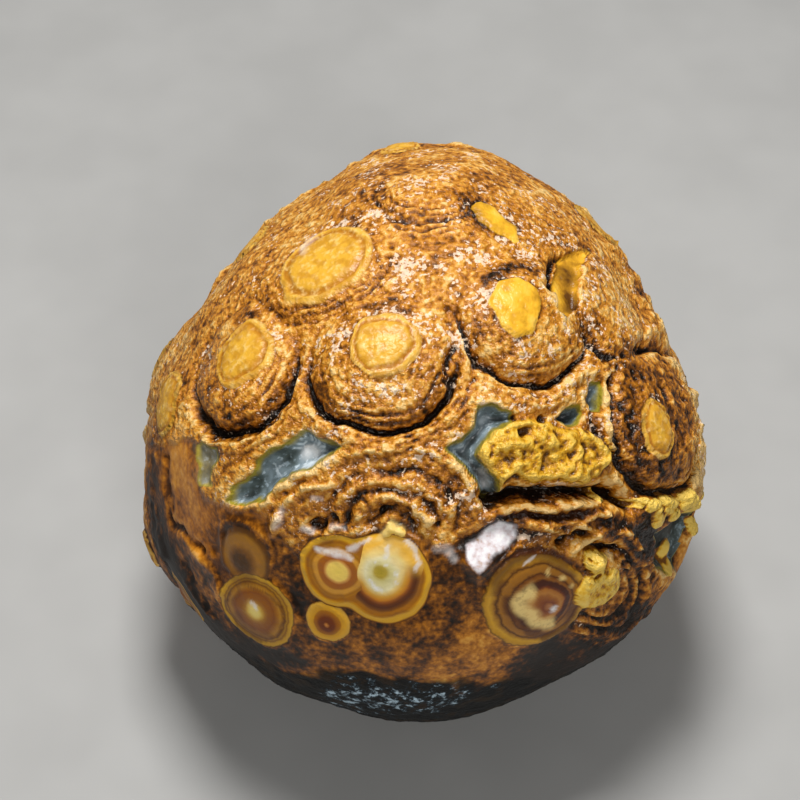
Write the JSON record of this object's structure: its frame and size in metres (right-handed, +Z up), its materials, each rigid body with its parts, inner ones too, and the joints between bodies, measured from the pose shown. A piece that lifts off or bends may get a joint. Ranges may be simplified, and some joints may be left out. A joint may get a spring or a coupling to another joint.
{
  "type": "gobi agate",
  "caption": "Rounded natural agate pebble with domed crust, raised eye discs, sunken chalcedony hollows and a deep crack; it lies on a small flat spot.",
  "frame": {"origin": "centre of the stone's footprint box, on the surface it rests on", "axes": "+Z up; the patterned face looks towards -Y and up at 50 degrees; +X is to the right of a viewer of that face"},
  "size_m": [0.042, 0.041, 0.0392],
  "materials": {
    "agate": "golden brown iron-stained agate: rough granular crust above, wind-polished below, grey chalcedony in the hollows"
  },
  "bodies": {
    "root": {"stone": "agate"}
  },
  "joints": []
}
